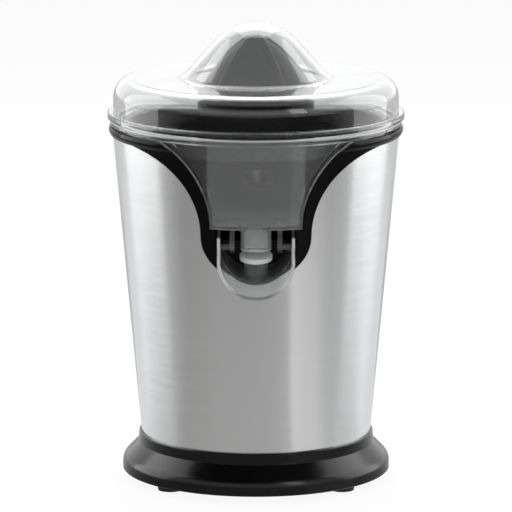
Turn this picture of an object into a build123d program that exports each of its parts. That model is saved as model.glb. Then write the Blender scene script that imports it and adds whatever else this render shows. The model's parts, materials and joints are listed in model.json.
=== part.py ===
from build123d import *
import math
import os

# Electric citrus juicer. A brushed steel body on a black base carries a clear juice collector with a
# snap-up spout, a sieve, a press-to-start reamer and a clear lid. Millimetres, Z up, front towards -Y.
# The origin lies on the body axis, on the table.

# Feet and bottom plate
FOOT_HEIGHT = 4.4
FOOT_RADIUS = 8.0
FOOT_TAPER = 0.8
FOOT_STUD = 2.6
FOOT_INSET = 13.6
FOOT_ANGLE = 50.0
PLATE_RECESS = 0.4
PLATE_THICK = 2.6
VENT_COUNT = 6
VENT_WIDTH = 3.0
VENT_LENGTH = 18.0
VENT_CIRCLE = 34.0

# Base skirt
BASE_SPREAD = 11.4
BASE_BAND = 4.2
BASE_SHOULDER = 8.0
NECK_PROUD = 1.8
BASE_LIP = 1.3
BASE_HEIGHT = 23.6
BASE_WALL = 2.2
BASE_LEDGE = 4.4
GLAND_HALF = 4.4
GLAND_BORE = 3.2
GLAND_FLANGE = 1.1
GLAND_FLANGE_THICK = 2.0
GLAND_LENGTH = 13.0
GLAND_RISE = 5.0
EDGE_BREAK = 0.6

# Steel body, a straight cone that widens upwards
BODY_FOOT_RADIUS = 69.2
BODY_TAPER = 0.091
STEEL_HEIGHT = 180.5
STEEL_SHEET = 0.8
STEEL_TUCK = 5.0

# Black upper housing: liner behind the steel, collar with notch frame, deck with spout pocket
HOUSING_WALL = 2.2
HOUSING_SKIRT = 30.0
COLLAR_HEIGHT = 5.7
COLLAR_PROUD = 2.5
FRAME_HALF = 32.5
FRAME_PROUD = 0.5
FRAME_LIFT = 2.0
FRAME_TIP_SHARE = 0.72
FLARE_RADIUS = 49.8
FLARE_RUNOUT = 0.8
FRAME_BAR = 4.9
WINDOW_FLARE = 57.4
WINDOW_HEIGHT = 50.2
POCKET_SIDE = 4.0
POCKET_DROP = 9.4
POCKET_WALL = 2.0
POCKET_DEPTH = 31.5
DECK_DROP = 14.0
DECK_THICK = 2.5
BOSS_RADIUS = 13.0
BOSS_GAP = 7.0
COLUMN_RADIUS = 5.0
COLUMN_INSET = 9.2
COLUMN_ANGLE = 25.0
POST_RADIUS = 4.2

# Screws
SCREW_RADIUS = 1.75
SCREW_HEAD = 3.4
SCREW_HEAD_HEIGHT = 2.2
SCREW_GRIP = 16.0

# Motor. The shares are parts of the height between the bottom plate and the deck
BRIDGE_SHARE = 0.07
BRIDGE_THICK = 3.0
BRIDGE_HALF_WIDTH = 8.0
LEG_SHARE = 0.098
LEG_RADIUS = 3.6
STATOR_HALF = 28.0
BORE_DEPTH = 12.5
RING_WALL = 3.0
STACK_SHARE = 0.24
BOLT_INSET = 5.5
BOLT_RADIUS = 1.5
POLE_NECK_INSET = 14.0
POLE_SHOE = 2.4
POLE_INSET = 6.0
COIL_GAP = 1.3
COIL_OVERHANG = 7.0
STANDOFF_SHARE = 0.105
ROTOR_GAP = 0.5
ROTOR_SHAFT = 3.0
MOTOR_BUSH = 6.0
MOTOR_BUSH_LENGTH = 8.0

# Two-stage gear train on one centre distance
MODULE = 1.0
PINION_TEETH = 16
WHEEL_TEETH = 48
PRESSURE_ANGLE = 20.0
IDLER_TURN = 90.0
ADDENDUM = 0.85
DEDENDUM = 1.3
TOOTH_THINNING = 0.16
CASE_FLOOR = 2.5
CASE_WALL = 2.2
CASE_ROOM = 4.0
GEAR_ROOM = 1.4
STAGE_ONE_FACE = 8.0
STAGE_GAP = 2.0
STAGE_TWO_FACE = 10.0
COVER_THICK = 2.5
LUG_THICK = 4.0
IDLER_PIN = 2.5
HUB_RADIUS = 8.0
HUB_RISE = 5.0
CLIP_WIDTH = 2.5
CLIP_THICK = 1.2

# Drive shaft, spring and switch
PRESS_TRAVEL = 2.5
SHAFT_RADIUS = 5.0
SHAFT_HEX = 8.0
SHAFT_FLANGE = 18.0
SHAFT_FLANGE_THICK = 3.0
SPRING_SHARE = 0.084
SPRING_RADIUS = 7.0
SPRING_WIRE = 0.7
SPRING_TURNS = 4
BUSH_RADIUS = 8.0
SEAL_HEIGHT = 6.0
SEAL_LIP = 1.4
SWITCH_LENGTH = 20.0
SWITCH_WIDTH = 6.4
SWITCH_HEIGHT = 10.0
PLUNGER_RADIUS = 1.5
PLUNGER_DEPTH = 2.5
PLUNGER_CIRCLE = 15.0

# Juice collector
CUP_WALL = 2.0
CUP_DEPTH = 30.2
CUP_RIM_HEIGHT = 4.0
CUP_RIM_STEP = 1.0
CUP_RIM_WALL = 2.6
CHUTE_DEPTH = 29.5
CHIMNEY_BORE = 8.5
CHIMNEY_HEIGHT = 20.0
NOZZLE_RADIUS = 9.0
NOZZLE_LENGTH = 12.7
NOZZLE_INSET = 7.5
EAR_CLEAR = 2.0
EAR_THICK = 3.0
EAR_RADIUS = 3.6

# Sieve
SIEVE_WALL = 1.6
SIEVE_DEPTH = 13.4
SIEVE_LIP = 1.4
SIEVE_HUB_GAP = 2.2
SIEVE_HUB_RISE = 5.5
SLOT_COUNT = 28
SLOT_WIDTH = 1.8
SLOT_INSET = 7.8
SLOT_MARGIN = 9.3

# Spout, seen from the side a shallow inner gutter and a steeper lip
SPOUT_SIDE = 0.8
SPOUT_WALL = 1.8
SPOUT_TOP_GAP = 4.9
SPOUT_INSET = 1.2
SPOUT_RUN = 25.5
LIP_REACH = 12.7
SPOUT_SLOPE = 8.0
LIP_SLOPE = 28.0
LIP_CUT = 2.2
HINGE_INSET = 23.5
HINGE_DROP = 14.0
HINGE_PIN = 1.8
SNAP_ANGLE = 10.0
STOPPER_RADIUS = 9.6
STOPPER_THICK = 2.6
STOPPER_STEM = 7.0

# Reamer
REAMER_RADIUS = 34.7
REAMER_WALL = 2.6
REAMER_CONE = 36.0
REAMER_TIP_RADIUS = 10.0
REAMER_TIP_GAP = 7.8
REAMER_FLANK = 34.5
REAMER_BULGE = 3.0
REAMER_LIFT = 6.0
RIB_COUNT = 5
RIB_RADIUS = 3.4
RIB_PROUD = 1.2
RIB_ANGLE = -60.0
SOCKET_RADIUS = 7.0
SOCKET_ROOF = 22.5
SOCKET_TUBE = 2.5

# Lid
LID_WALL = 2.0
LID_RIM_HEIGHT = 4.0
LID_RIM_PROUD = 0.7
LID_RIM_STEP = 3.5
LID_RISE = 19.9
LID_SHOULDER = 11.2
LID_BUMP_RISE = 33.3
LID_BUMP_TIP = 33.0
LID_BUMP_FLANK = 48.0
LID_FOLD = 6.0
SPIGOT_DEPTH = 1.7
SPIGOT_WALL = 1.6

# Clearances
SKIN_GAP = 0.2
EDGE_GAP = 0.25
CUP_GAP = 0.5
SEAT_GAP = 0.2
RUN_GAP = 0.05
FIT_GAP = 0.05
STOP_GAP = 0.3
FRONT_INSET = 0.2

# Heights
PLATE_Z = FOOT_HEIGHT + PLATE_RECESS
PLATE_TOP = PLATE_Z + PLATE_THICK
BASE_TOP = FOOT_HEIGHT + BASE_HEIGHT
STEEL_Z = BASE_TOP - STEEL_TUCK
STEEL_TOP = BASE_TOP + STEEL_HEIGHT
COLLAR_TOP = STEEL_TOP + COLLAR_HEIGHT
FLARE_Z = STEEL_TOP + FLARE_RUNOUT - FLARE_RADIUS
WINDOW_Z = COLLAR_TOP - WINDOW_HEIGHT
POCKET_Z = WINDOW_Z - POCKET_DROP
DECK_Z = WINDOW_Z - DECK_DROP
DECK_TOP = DECK_Z + DECK_THICK
HOUSING_Z = DECK_Z - HOUSING_SKIRT
BOSS_TOP = COLLAR_TOP - CUP_DEPTH - BOSS_GAP
DRIVE_ROOM = DECK_Z - PLATE_TOP
LEG_LENGTH = DRIVE_ROOM * LEG_SHARE
STACK_HEIGHT = DRIVE_ROOM * STACK_SHARE
STANDOFF_LENGTH = DRIVE_ROOM * STANDOFF_SHARE
SPRING_LENGTH = DRIVE_ROOM * SPRING_SHARE
BRIDGE_Z = PLATE_TOP + DRIVE_ROOM * BRIDGE_SHARE
STATOR_Z = BRIDGE_Z + BRIDGE_THICK + LEG_LENGTH
STATOR_TOP = STATOR_Z + STACK_HEIGHT
CASE_Z = STATOR_TOP + STANDOFF_LENGTH
STAGE_ONE_Z = CASE_Z + CASE_FLOOR + CASE_ROOM
STAGE_ONE_TOP = STAGE_ONE_Z + STAGE_ONE_FACE
STAGE_TWO_Z = STAGE_ONE_TOP + STAGE_GAP
STAGE_TWO_TOP = STAGE_TWO_Z + STAGE_TWO_FACE
COVER_Z = STAGE_TWO_TOP + STAGE_GAP
COVER_TOP = COVER_Z + COVER_THICK
HUB_TOP = COVER_TOP + HUB_RISE
FLANGE_Z = HUB_TOP + SPRING_LENGTH
FLANGE_TOP = FLANGE_Z + SHAFT_FLANGE_THICK
SHAFT_Z = STAGE_ONE_TOP + STAGE_GAP + PRESS_TRAVEL
CUP_RIM_Z = COLLAR_TOP + SEAT_GAP
CUP_STEP_Z = CUP_RIM_Z + CUP_WALL
CUP_RIM_TOP = CUP_RIM_Z + CUP_RIM_HEIGHT
CUP_FLOOR_Z = COLLAR_TOP - CUP_DEPTH
CUP_FLOOR_TOP = CUP_FLOOR_Z + CUP_WALL
CHIMNEY_TOP = CUP_FLOOR_Z + CHIMNEY_HEIGHT
CHUTE_Z = WINDOW_Z + SEAT_GAP
NOZZLE_Z = CHUTE_Z - NOZZLE_LENGTH
SIEVE_Z = CUP_STEP_Z - SIEVE_DEPTH
LID_Z = CUP_RIM_TOP + SEAT_GAP
LID_RIM_TOP = LID_Z + LID_RIM_HEIGHT
PLATEAU_Z = LID_RIM_TOP + LID_RISE
LID_TIP_Z = PLATEAU_Z + LID_BUMP_RISE
REAMER_TIP_Z = LID_TIP_Z - REAMER_TIP_GAP
CONE_Z = REAMER_TIP_Z - REAMER_CONE
REAMER_Z = CUP_FLOOR_TOP + REAMER_LIFT
SOCKET_Z = CHIMNEY_TOP + PRESS_TRAVEL + 3 * STAGE_GAP / 2
SOCKET_TOP = REAMER_TIP_Z - SOCKET_ROOF
SHAFT_TOP = SOCKET_TOP - 2 * REAMER_WALL
SPOUT_TOP = CHUTE_Z - SPOUT_TOP_GAP
HINGE_Z = WINDOW_Z - HINGE_DROP
GLAND_Z = PLATE_TOP + GLAND_RISE

# Depths from the outside of the steel cone, positive inwards
WALL_OUT = STEEL_SHEET + SKIN_GAP
WALL_MID = WALL_OUT + HOUSING_WALL / 2
WALL_IN = WALL_OUT + HOUSING_WALL
CUP_OUT = WALL_IN + CUP_GAP
CUP_IN = CUP_OUT + CUP_WALL

CENTRES = MODULE * (PINION_TEETH + WHEEL_TEETH) / 2
PINION_PITCH = MODULE * PINION_TEETH / 2
WHEEL_PITCH = MODULE * WHEEL_TEETH / 2
CASE_INNER = WHEEL_PITCH + ADDENDUM + GEAR_ROOM
CASE_OUTER = CASE_INNER + CASE_WALL
IDLER_AT = (0, CENTRES)
STATOR_RING = STATOR_HALF - RING_WALL
BOLT_OFFSET = STATOR_HALF - BOLT_INSET
STATOR_BORE = STATOR_HALF - BORE_DEPTH
POLE_NECK = STATOR_HALF - POLE_NECK_INSET
POLE_SPAN = STATOR_HALF - POLE_INSET
COIL_NEAR = STATOR_BORE + POLE_SHOE + FIT_GAP
COIL_THICK = math.sqrt(STATOR_RING ** 2 - POLE_SPAN ** 2 / 4) - COIL_NEAR - COIL_GAP
REACH = 2 * BODY_FOOT_RADIUS


def body_radius(z):
    """Outside radius of the steel cone at a height."""
    return BODY_FOOT_RADIUS + BODY_TAPER * (z - BASE_TOP)


COLLAR_RADIUS = body_radius(STEEL_TOP) + COLLAR_PROUD
CUP_RIM_RADIUS = COLLAR_RADIUS - CUP_RIM_STEP
CUP_STEP_RADIUS = CUP_RIM_RADIUS - CUP_RIM_WALL
LID_RIM_RADIUS = COLLAR_RADIUS + LID_RIM_PROUD
LID_RADIUS = LID_RIM_RADIUS - LID_RIM_STEP
BASE_RADIUS = BODY_FOOT_RADIUS + BASE_SPREAD
BASE_NECK = BODY_FOOT_RADIUS + NECK_PROUD
PLATE_RADIUS = BASE_RADIUS - BASE_WALL - SEAT_GAP
FOOT_CIRCLE = BASE_RADIUS - FOOT_INSET
COLUMN_CIRCLE = BODY_FOOT_RADIUS - COLUMN_INSET

# Front opening: half widths, and distances in front of the axis
WINDOW_HALF = FRAME_HALF - FRAME_BAR
POCKET_HALF = WINDOW_HALF - POCKET_SIDE
SPOUT_HALF = POCKET_HALF - SPOUT_SIDE
FRAME_DROP = FLARE_Z - POCKET_Z + POCKET_HALF - FRAME_LIFT
FRAME_TIP = POCKET_HALF * FRAME_TIP_SHARE
SPOUT_FACE = body_radius(POCKET_Z) - SPOUT_INSET
SPOUT_TIP = SPOUT_FACE + LIP_REACH
SPOUT_BACK = SPOUT_FACE - SPOUT_RUN
POCKET_BACK = SPOUT_FACE - POCKET_DEPTH
CHUTE_BACK = SPOUT_FACE - CHUTE_DEPTH
NOZZLE_FROM_AXIS = SPOUT_FACE - NOZZLE_INSET
HINGE_FROM_AXIS = SPOUT_FACE - HINGE_INSET
HINGE_WALL = POCKET_Z + HINGE_INSET * math.tan(math.radians(SPOUT_SLOPE)) - HINGE_Z
EAR_ROOM = math.sqrt((SPOUT_HALF - SPOUT_WALL) ** 2 - (HINGE_WALL + EAR_RADIUS) ** 2)
EAR_INNER = EAR_ROOM - EAR_THICK - EAR_CLEAR
SIEVE_HUB = REAMER_RADIUS + SIEVE_HUB_GAP
SLOT_INNER = SIEVE_HUB + SLOT_INSET
SLOT_OUTER = body_radius(SIEVE_Z) - CUP_IN - CUP_GAP - SIEVE_WALL - SLOT_MARGIN


def turned(*points):
    """Solid of revolution about Z from a closed (radius, height) outline."""
    return revolve(make_face(Plane.XZ * Polyline(*points, close=True)), Axis.Z)


def turned_edges(edges):
    """Solid of revolution about Z from (radius, height) outline edges that meet end to end."""
    return revolve(make_face(Plane.XZ * (Curve() + edges)), Axis.Z)


def rod(radius, z_low, z_high, at=(0, 0)):
    """Upright cylinder between two heights."""
    column = Cylinder(radius, z_high - z_low, align=(Align.CENTER, Align.CENTER, Align.MIN))
    return Pos(at[0], at[1], z_low) * column


def tube(outer, inner, z_low, z_high, at=(0, 0)):
    """Upright ring between two heights."""
    return rod(outer, z_low, z_high, at) - rod(inner, z_low, z_high, at)


def hex_bar(across_flats, z_low, z_high):
    """Upright hexagonal bar between two heights."""
    outline = RegularPolygon(across_flats / 2, 6, major_radius=False)
    return Pos(0, 0, z_low) * extrude(outline, amount=z_high - z_low)


def block(x_low, x_high, y_low, y_high, z_low, z_high):
    """Box between limits."""
    body = Box(x_high - x_low, y_high - y_low, z_high - z_low, align=(Align.MIN, Align.MIN, Align.MIN))
    return Pos(x_low, y_low, z_low) * body


def cone_band(z_low, z_high, outer, inner):
    """Ring between two depths under the outside of the steel cone."""
    return turned(
        (body_radius(z_low) - inner, z_low),
        (body_radius(z_low) - outer, z_low),
        (body_radius(z_high) - outer, z_high),
        (body_radius(z_high) - inner, z_high),
    )


def cone_solid(z_low, z_high, depth):
    """Full cone at a depth under the outside of the steel cone."""
    return turned(
        (0, z_low),
        (body_radius(z_low) - depth, z_low),
        (body_radius(z_high) - depth, z_high),
        (0, z_high),
    )


def notch(half, flare, waist, top, start, drop):
    """Cutter towards the front with flared sides over a waist, closed by a half ellipse or a straight edge."""
    edge = half + flare
    corner = flare * math.sqrt(0.5)
    shoulder = waist + flare
    left = ThreePointArc((-edge, shoulder), (corner - edge, waist + corner), (-half, waist))
    right = ThreePointArc((half, waist), (edge - corner, waist + corner), (edge, shoulder))
    bottom = Line((-half, waist), (half, waist))
    if drop > 0:
        bottom = EllipticalCenterArc((0, waist), half, drop, start_angle=180, arc_size=180)
    crown = Polyline((edge, shoulder), (edge, top), (-edge, top), (-edge, shoulder))
    outline = make_face(Curve() + [left, bottom, right, crown])
    return extrude(Plane.XZ.offset(start) * outline, amount=REACH)


def u_outline(half, centre, top):
    """Upright U with a half-circle bottom."""
    bottom = ThreePointArc((-half, centre), (0, centre - half), (half, centre))
    sides = Polyline((half, centre), (half, top), (-half, top), (-half, centre))
    return make_face(Curve() + [bottom, sides])


def mirrored(radius, angle_from_x):
    """Four points, mirrored about the X and the Y axis."""
    x = radius * math.cos(math.radians(angle_from_x))
    y = radius * math.sin(math.radians(angle_from_x))
    return [(x, y), (-x, y), (-x, -y), (x, -y)]


FEET = mirrored(FOOT_CIRCLE, 90 - FOOT_ANGLE)
COLUMNS = mirrored(COLUMN_CIRCLE, COLUMN_ANGLE)
BOLTS = mirrored(BOLT_OFFSET * math.sqrt(2), 45)
POST_REACH = CASE_OUTER + SCREW_HEAD + EDGE_GAP
POST_TURNS = [(0, CENTRES / 2), (180, CENTRES / 2), (270, 0)]
POSTS = [
    (POST_REACH * math.cos(math.radians(turn)), middle + POST_REACH * math.sin(math.radians(turn)))
    for turn, middle in POST_TURNS
]


def lugs(z_low, z_high):
    """Arms from the gearbox wall out to the three posts."""
    arm = block(CASE_OUTER - CASE_WALL / 2, POST_REACH, -POST_RADIUS, POST_RADIUS, z_low, z_high)
    arm += rod(POST_RADIUS, z_low, z_high, (POST_REACH, 0))
    arm -= rod(SCREW_RADIUS + FIT_GAP, z_low, z_high, (POST_REACH, 0))
    return [Pos(0, middle, 0) * Rot(0, 0, turn) * arm for turn, middle in POST_TURNS]


def screw(at, seat, length):
    """Pan-head screw that points up from its seat."""
    head = rod(SCREW_HEAD, seat - SCREW_HEAD_HEIGHT, seat, at)
    return head + rod(SCREW_RADIUS, seat - SCREW_HEAD_HEIGHT / 2, seat + length, at)


def involute(angle):
    return math.tan(angle) - angle


def gear_outline(teeth, phase):
    """Involute gear outline with thinned teeth and a tooth centred on the phase angle."""
    pitch = MODULE * teeth / 2
    pressure = math.radians(PRESSURE_ANGLE)
    base = pitch * math.cos(pressure)
    tip = pitch + ADDENDUM * MODULE
    root = pitch - DEDENDUM * MODULE
    half = math.pi / (2 * teeth) - TOOTH_THINNING / (2 * pitch) + involute(pressure)
    start = max(base, root)
    flank = []
    if root < base:
        flank.append((root, half))
    for step in range(5):
        radius = start + (tip - start) * step / 4
        flank.append((radius, half - involute(math.acos(min(1, base / radius)))))
    points = []
    for tooth in range(teeth):
        middle = math.radians(phase) + 2 * math.pi * tooth / teeth
        for radius, lean in flank:
            points.append((radius * math.cos(middle - lean), radius * math.sin(middle - lean)))
        for radius, lean in reversed(flank):
            points.append((radius * math.cos(middle + lean), radius * math.sin(middle + lean)))
    return make_face(Polyline(*points, close=True))


def gear(teeth, phase, z_low, z_high, at=(0, 0)):
    return Pos(at[0], at[1], z_low) * extrude(gear_outline(teeth, phase), amount=z_high - z_low)


def rubber_feet():
    feet = []
    for at in FEET:
        pad = Cone(FOOT_RADIUS - FOOT_TAPER, FOOT_RADIUS, PLATE_Z, align=(Align.CENTER, Align.CENTER, Align.MIN))
        feet.append(Pos(at[0], at[1], 0) * pad + rod(FOOT_STUD, PLATE_Z / 2, PLATE_TOP, at))
    return feet


def bottom_plate():
    plate = rod(PLATE_RADIUS, PLATE_Z, PLATE_TOP)
    for at in FEET:
        plate -= rod(FOOT_STUD + FIT_GAP, PLATE_Z, PLATE_TOP, at)
    for at in COLUMNS:
        plate -= rod(SCREW_RADIUS + FIT_GAP, PLATE_Z, PLATE_TOP, at)
    vent = SlotOverall(VENT_LENGTH, VENT_WIDTH)
    for i in range(VENT_COUNT):
        turn = Rot(0, 0, 360 * (i + 0.5) / VENT_COUNT)
        plate -= turn * Pos(VENT_CIRCLE, 0, PLATE_Z) * extrude(vent, amount=PLATE_THICK)
    return plate


def base_ring():
    """Skirt with a vertical band, a rounded 45 degree slope and a neck that hugs the steel."""
    band_top = FOOT_HEIGHT + BASE_BAND
    centre = BASE_RADIUS - BASE_SHOULDER
    diagonal = math.sqrt(0.5)
    middle = math.radians(22.5)

    def on_arc(radius, angle):
        return (centre + radius * math.cos(angle), band_top + radius * math.sin(angle))

    outer = BASE_SHOULDER
    inner = BASE_SHOULDER - BASE_WALL
    slope_out = on_arc(outer, math.pi / 4)
    slope_in = on_arc(inner, math.pi / 4)
    neck_z = slope_out[1] + slope_out[0] - BASE_NECK
    ledge_z = STEEL_Z - BASE_WALL
    ledge_r = body_radius(STEEL_Z) - BASE_LEDGE + STEEL_SHEET
    lip_in = body_radius(BASE_TOP) + SKIN_GAP
    outline = [
        Polyline(
            (BASE_RADIUS - BASE_WALL, FOOT_HEIGHT),
            (BASE_RADIUS - EDGE_BREAK, FOOT_HEIGHT),
            (BASE_RADIUS, FOOT_HEIGHT + EDGE_BREAK),
            (BASE_RADIUS, band_top),
        ),
        ThreePointArc((BASE_RADIUS, band_top), on_arc(outer, middle), slope_out),
        Polyline(
            slope_out,
            (BASE_NECK, neck_z),
            (lip_in + BASE_LIP, BASE_TOP - EDGE_BREAK),
            (lip_in + BASE_LIP - EDGE_BREAK, BASE_TOP),
            (lip_in, BASE_TOP),
            (body_radius(STEEL_Z) + SKIN_GAP, STEEL_Z),
            (ledge_r, STEEL_Z),
            (ledge_r, ledge_z),
            (slope_in[0] + slope_in[1] - ledge_z, ledge_z),
            slope_in,
        ),
        ThreePointArc(slope_in, on_arc(inner, middle), (BASE_RADIUS - BASE_WALL, band_top)),
        Line((BASE_RADIUS - BASE_WALL, band_top), (BASE_RADIUS - BASE_WALL, FOOT_HEIGHT)),
    ]
    ring = turned_edges(outline)
    shelf_in = BASE_RADIUS - BASE_WALL - BASE_LEDGE
    ring += tube(BASE_RADIUS - BASE_WALL / 2, shelf_in, PLATE_TOP, PLATE_TOP + BASE_WALL * diagonal)
    half = GLAND_HALF + FIT_GAP
    return ring - block(-half, half, BASE_RADIUS - GLAND_LENGTH, REACH, 0, GLAND_Z + half)


def cord_gland():
    """Square grommet that slides up into the slot at the back of the skirt, with an inner flange and a tongue."""
    back = BASE_RADIUS - EDGE_BREAK
    front = BASE_RADIUS - GLAND_LENGTH
    flange = GLAND_HALF + GLAND_FLANGE
    low = GLAND_Z - GLAND_HALF
    high = GLAND_Z + GLAND_HALF
    bush = block(-GLAND_HALF, GLAND_HALF, front, back, low, high)
    bush += block(-flange, flange, front - GLAND_FLANGE_THICK, front - FIT_GAP, PLATE_TOP, GLAND_Z + flange)
    bush += block(-GLAND_HALF, GLAND_HALF, front - FIT_GAP, front, low, high)
    bush += block(-GLAND_HALF, GLAND_HALF, PLATE_RADIUS + FIT_GAP, back, PLATE_Z, GLAND_Z)
    bore = Cylinder(GLAND_BORE, REACH, align=(Align.CENTER, Align.CENTER, Align.MIN))
    return bush - Pos(0, 0, GLAND_Z) * Rot(-90, 0, 0) * bore


def housing_screws():
    return [screw(at, PLATE_Z, PLATE_THICK + SCREW_GRIP) for at in COLUMNS]


def steel_shell():
    shell = cone_band(STEEL_Z, STEEL_TOP, 0, STEEL_SHEET)
    shell -= notch(FRAME_HALF, FLARE_RADIUS, FLARE_Z, COLLAR_TOP + REACH, 0, FRAME_DROP)
    return shell - pocket_cutter(EDGE_GAP)


def window_cutter():
    """Opening in the front wall for the collector's chute."""
    return notch(WINDOW_HALF, WINDOW_FLARE, WINDOW_Z, COLLAR_TOP + REACH, POCKET_BACK - POCKET_WALL, 0)


def pocket_cutter(margin):
    """Room for the spout in the steel, the front wall and the deck."""
    outline = u_outline(POCKET_HALF + margin, POCKET_Z, WINDOW_Z + POCKET_WALL)
    return extrude(Plane.XZ.offset(POCKET_BACK) * outline, amount=REACH)


def collar_frame():
    """Glossy collar over the edge of the steel, with a frame round the front notch that ends beside the spout."""
    collar_z = STEEL_TOP + SKIN_GAP
    collar_foot = body_radius(STEEL_TOP) + COLLAR_PROUD / 4
    collar_edge = COLLAR_RADIUS - COLLAR_PROUD / 4
    collar_mid = (collar_z + COLLAR_TOP) / 2 + COLLAR_HEIGHT / 10
    depth = WALL_OUT - FIT_GAP
    foot_in = (body_radius(collar_z) - depth, collar_z)
    top_in = (body_radius(COLLAR_TOP) - depth, COLLAR_TOP)
    collar = [
        Polyline(top_in, foot_in, (collar_foot, collar_z)),
        ThreePointArc((collar_foot, collar_z), (COLLAR_RADIUS, collar_mid), (collar_edge, COLLAR_TOP)),
        Line((collar_edge, COLLAR_TOP), top_in),
    ]
    frame = cone_band(HOUSING_Z, collar_z + COLLAR_HEIGHT / 2, -FRAME_PROUD, depth)
    frame &= notch(
        FRAME_HALF - EDGE_GAP, FLARE_RADIUS + EDGE_GAP, FLARE_Z, COLLAR_TOP + REACH, 0, FRAME_DROP - EDGE_GAP
    )
    frame -= block(-FRAME_TIP, FRAME_TIP, -REACH, 0, 0, POCKET_Z)
    return turned_edges(collar) + frame - window_cutter() - pocket_cutter(0)


def well_liner():
    """Wall behind the steel, round the well that takes the collector."""
    return cone_band(HOUSING_Z, COLLAR_TOP, WALL_OUT, WALL_IN) - window_cutter() - pocket_cutter(0)


def deck():
    """Floor of the well with the spout pocket, the shaft boss, four columns and three posts for the gearbox."""
    depth = WALL_IN + FIT_GAP
    floor = cone_solid(DECK_Z, DECK_TOP, depth)
    pocket = u_outline(POCKET_HALF + POCKET_WALL, POCKET_Z, WINDOW_Z)
    pocket = extrude(Plane.XZ.offset(POCKET_BACK - POCKET_WALL) * pocket, amount=REACH)
    floor += pocket & cone_solid(HOUSING_Z, DECK_TOP, depth)
    floor -= pocket_cutter(0)
    floor += rod(BOSS_RADIUS, DECK_Z, BOSS_TOP)
    for at in COLUMNS:
        floor += rod(COLUMN_RADIUS, PLATE_TOP, DECK_TOP, at)
        floor -= rod(SCREW_RADIUS + FIT_GAP, PLATE_TOP, PLATE_TOP + SCREW_GRIP + SCREW_RADIUS, at)
    for at in POSTS:
        floor += rod(POST_RADIUS, COVER_TOP, DECK_TOP, at)
        floor -= rod(SCREW_RADIUS + FIT_GAP, COVER_TOP, COVER_TOP + SCREW_GRIP + SCREW_RADIUS, at)
    return floor - rod(BUSH_RADIUS + FIT_GAP, DECK_Z, BOSS_TOP)


def shaft_bush():
    return tube(BUSH_RADIUS, SHAFT_RADIUS + RUN_GAP, DECK_Z, BOSS_TOP - SEAL_HEIGHT)


def shaft_seal():
    """Ring in the top of the boss with a raised lip against the shaft."""
    bore = SHAFT_RADIUS + RUN_GAP
    return turned(
        (bore, BOSS_TOP - SEAL_HEIGHT),
        (BUSH_RADIUS, BOSS_TOP - SEAL_HEIGHT),
        (BUSH_RADIUS, BOSS_TOP),
        (bore + SEAL_LIP, BOSS_TOP),
        (bore, BOSS_TOP + SEAL_LIP),
    )


def stadium(radius, z_low, z_high):
    """Upright slot shape over the two gear axes."""
    outline = Rot(0, 0, IDLER_TURN) * SlotOverall(CENTRES + 2 * radius, 2 * radius)
    return Pos(0, CENTRES / 2, z_low) * extrude(outline, amount=z_high - z_low)


def gearbox_case():
    """Tray for the gears with standoffs down to the motor and lugs out to the posts."""
    case = stadium(CASE_OUTER, CASE_Z, COVER_Z) - stadium(CASE_INNER, CASE_Z + CASE_FLOOR, COVER_Z)
    corner = BOLT_OFFSET + LEG_RADIUS
    case += block(-corner, corner, -corner, corner, CASE_Z, CASE_Z + CASE_FLOOR)
    bush_wall = MOTOR_BUSH + CASE_WALL
    case += rod(bush_wall, CASE_Z - MOTOR_BUSH_LENGTH + CASE_FLOOR, CASE_Z + CASE_FLOOR)
    case -= rod(MOTOR_BUSH + FIT_GAP, CASE_Z - MOTOR_BUSH_LENGTH, CASE_Z + CASE_FLOOR)
    case += rod(IDLER_PIN + CASE_WALL, CASE_Z, STAGE_ONE_Z - RUN_GAP * 4, IDLER_AT)
    case -= rod(IDLER_PIN + FIT_GAP, CASE_Z + CASE_FLOOR / 2, STAGE_ONE_Z, IDLER_AT)
    for at in BOLTS:
        case += rod(LEG_RADIUS, STATOR_TOP, CASE_Z + CASE_FLOOR, at)
        case -= rod(BOLT_RADIUS + FIT_GAP, STATOR_TOP, CASE_Z + CASE_FLOOR / 2, at)
    return case + lugs(COVER_Z - LUG_THICK, COVER_Z)


def gearbox_cover():
    """Flat cover that carries the output hub, the top of the idler pin and the switch."""
    cover = stadium(CASE_OUTER, COVER_Z, COVER_TOP)
    cover += rod(IDLER_PIN + CASE_WALL, STAGE_TWO_TOP + RUN_GAP * 4, COVER_TOP, IDLER_AT)
    cover -= rod(IDLER_PIN + FIT_GAP, STAGE_TWO_TOP, COVER_Z + COVER_THICK / 2, IDLER_AT)
    cover += lugs(COVER_Z, COVER_TOP)
    return cover - rod(HUB_RADIUS + RUN_GAP, COVER_Z, COVER_TOP)


def gearbox_screws():
    return [screw(at, COVER_Z - LUG_THICK, LUG_THICK + COVER_THICK + SCREW_GRIP) for at in POSTS]


def idler_pin():
    return rod(IDLER_PIN, CASE_Z + CASE_FLOOR / 2, COVER_Z + COVER_THICK / 2, IDLER_AT)


def stator_core():
    """Square lamination stack with two poles that face the rotor along X."""
    core = block(-STATOR_HALF, STATOR_HALF, -STATOR_HALF, STATOR_HALF, STATOR_Z, STATOR_TOP)
    core -= rod(STATOR_RING, STATOR_Z, STATOR_TOP)
    necks = block(
        -STATOR_RING - POLE_SHOE, STATOR_RING + POLE_SHOE, -POLE_NECK / 2, POLE_NECK / 2, STATOR_Z, STATOR_TOP
    )
    shoes = rod(STATOR_BORE + POLE_SHOE, STATOR_Z, STATOR_TOP)
    shoes &= block(-STATOR_HALF, STATOR_HALF, -POLE_SPAN / 2, POLE_SPAN / 2, STATOR_Z, STATOR_TOP)
    core += (necks + shoes) - rod(STATOR_BORE, STATOR_Z, STATOR_TOP)
    for at in BOLTS:
        core -= rod(BOLT_RADIUS + FIT_GAP, STATOR_Z, STATOR_TOP, at)
    return core


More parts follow.
